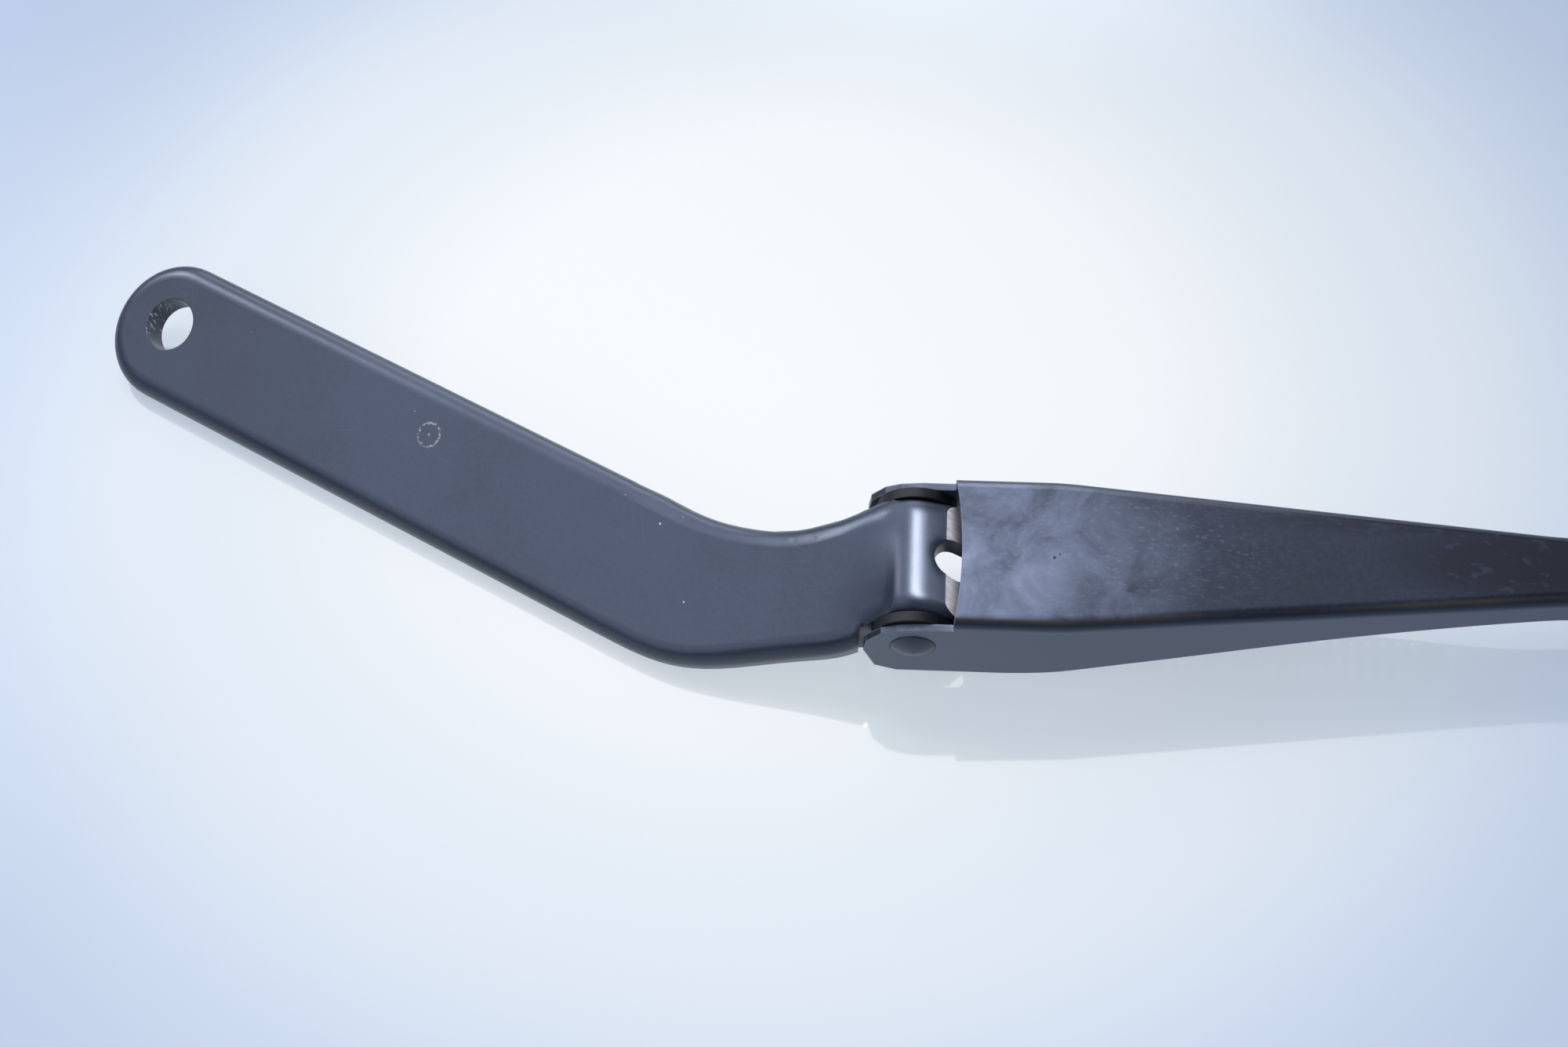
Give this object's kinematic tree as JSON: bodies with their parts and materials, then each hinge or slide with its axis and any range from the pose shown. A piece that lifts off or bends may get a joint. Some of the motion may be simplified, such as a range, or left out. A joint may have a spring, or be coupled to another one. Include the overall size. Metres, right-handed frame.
{
  "type": "wiper arm",
  "caption": "Folding windscreen wiper arm with a cranked mounting head, a sprung sheet-metal channel arm and a flat blade rod that ends in a hook.",
  "frame": {"origin": "centre of the spindle bore on the head's top face", "axes": "+X along the arm from the spindle towards the blade, +Y along the hinge pin to the far side, +Z away from the windscreen"},
  "size_m": [0.5157, 0.0854, 0.0489],
  "materials": {
    "head_paint": "satin black, scuffed",
    "channel_paint": "satin black, scuffed and dusty",
    "rivet_paint": "satin black",
    "washer_metal": "dull",
    "pin_steel": "dull",
    "link_steel": "dull, dark",
    "spring_steel": "oiled, dark",
    "rod_paint": "satin black"
  },
  "bodies": {
    "head": {"mounting_head": "head_paint", "anchor_pin": "pin_steel"},
    "arm": {"arm_channel": "channel_paint", "hinge_rivet": "rivet_paint", "hinge_washer_near": "washer_metal", "hinge_washer_far": "washer_metal", "arm_rod": "rod_paint", "rod_rivet": "rivet_paint", "tension_spring": "spring_steel"},
    "link": {"spring_link": "link_steel"}
  },
  "joints": [
    {"name": "arm_fold", "type": "hinge", "parent": "head", "child": "arm", "pos_m": [0.1407, -0.05758, 0.02145], "axis": [0, -1, 0], "range_deg": [0, 90], "deforming": ["tension_spring"]},
    {"name": "link_swing", "type": "hinge", "parent": "head", "child": "link", "pos_m": [0.1347, -0.05758, 0.01695], "axis": [0, -1, 0], "range_deg": [0, 54]}
  ],
  "couplings": [
    {"joint": "link_swing", "follows": "arm_fold", "ratio": 0.6}
  ]
}
